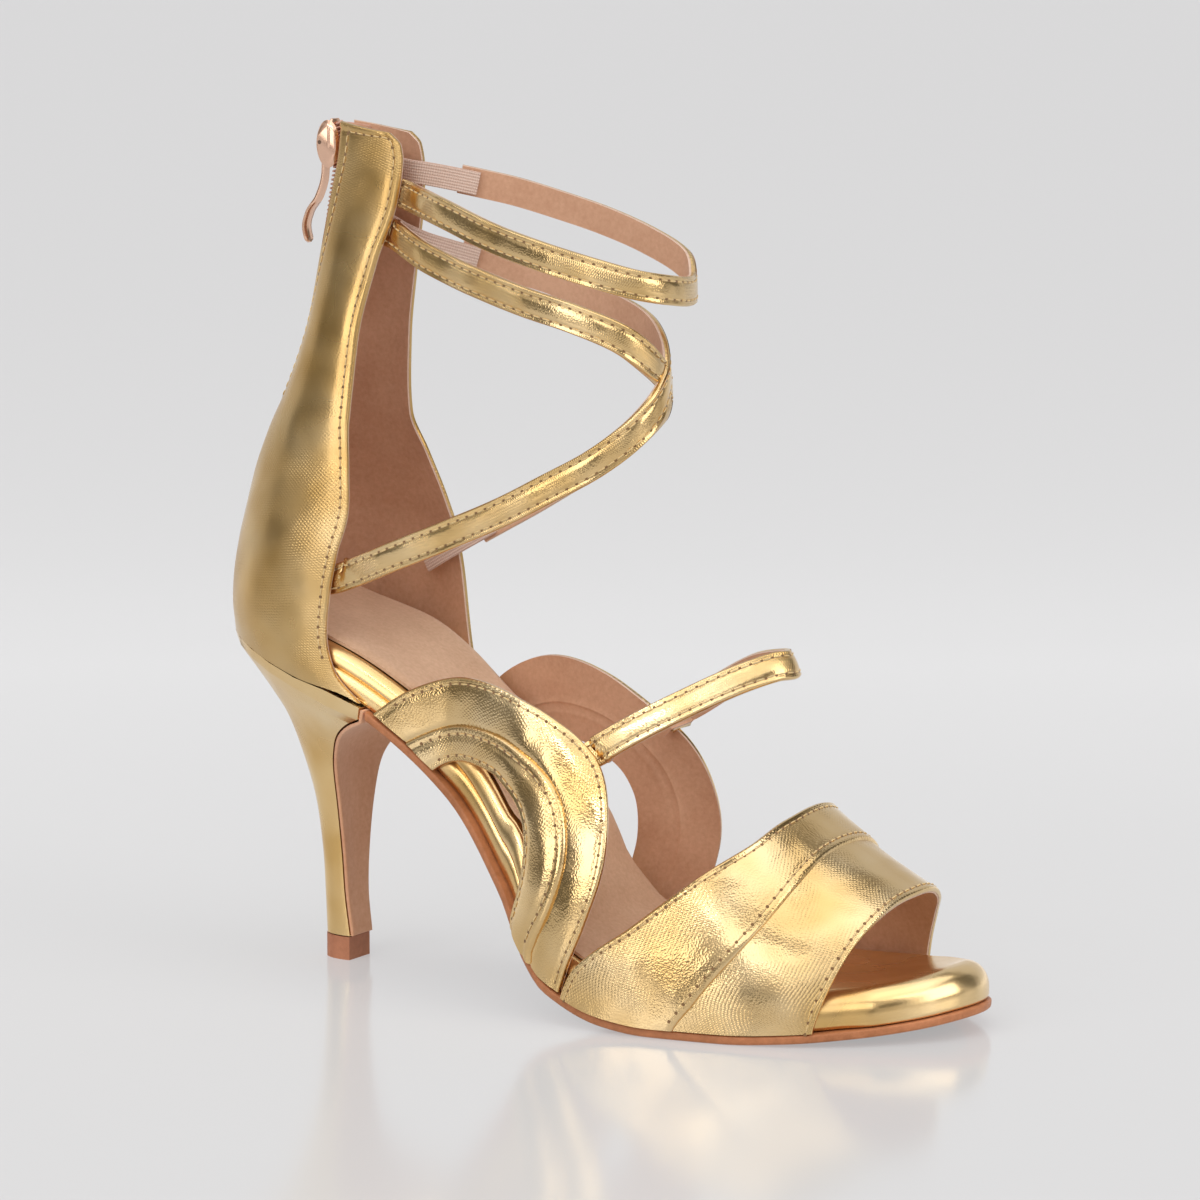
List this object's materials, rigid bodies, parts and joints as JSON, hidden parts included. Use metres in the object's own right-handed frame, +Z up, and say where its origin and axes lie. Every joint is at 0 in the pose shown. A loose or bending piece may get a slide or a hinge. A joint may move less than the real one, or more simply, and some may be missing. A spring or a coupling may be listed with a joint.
{
  "type": "high heeled dance sandal",
  "caption": "Strappy high heeled ballroom dance sandal for the right foot, open toe, zipped high back, crossing ankle straps and looped side bands, mirror gold leather.",
  "frame": {"origin": "centre of the heel tip on the floor that the empty shoe stands on", "axes": "+Z up, +X from the heel to the toe, +Y towards the inner side of the right foot"},
  "size_m": [0.2132, 0.0789, 0.2171],
  "materials": {
    "gold_leather": "metallic gold foil on fine grained leather",
    "tan_leather": "smooth tan edge, suede underneath",
    "brown_leather": "matte brown",
    "tan_lift": "matte stacked tip",
    "beige_suede": "soft matte nap",
    "nude_tape": "woven tape and coil",
    "nude_elastic": "ribbed elastic",
    "rose_gold": "polished rose gold plating"
  },
  "bodies": {
    "shoe": {"outsole": "tan_leather", "insole": "gold_leather", "sock_lining": "beige_suede", "heel": "gold_leather", "heel_breast_cover": "brown_leather", "top_lift": "tan_lift", "quarter_outer": "gold_leather", "quarter_inner": "gold_leather", "zip_tape": "nude_tape", "zip_slider": "rose_gold", "side_loop_outer": "gold_leather", "side_loop_inner": "gold_leather", "vamp": "gold_leather", "instep_strap": "gold_leather", "ankle_strap": "gold_leather", "elastic_ankle": "nude_elastic", "cross_straps": "gold_leather", "elastic_cross_low": "nude_elastic", "elastic_cross_high": "nude_elastic"},
    "pull_tab": {"zip_pull": "rose_gold"}
  },
  "joints": [
    {"name": "pull_hinge", "type": "hinge", "parent": "shoe", "child": "pull_tab", "pos_m": [-0.0043, 0, 0.21108], "axis": [0, 1, 0], "range_deg": [0, 150]}
  ]
}
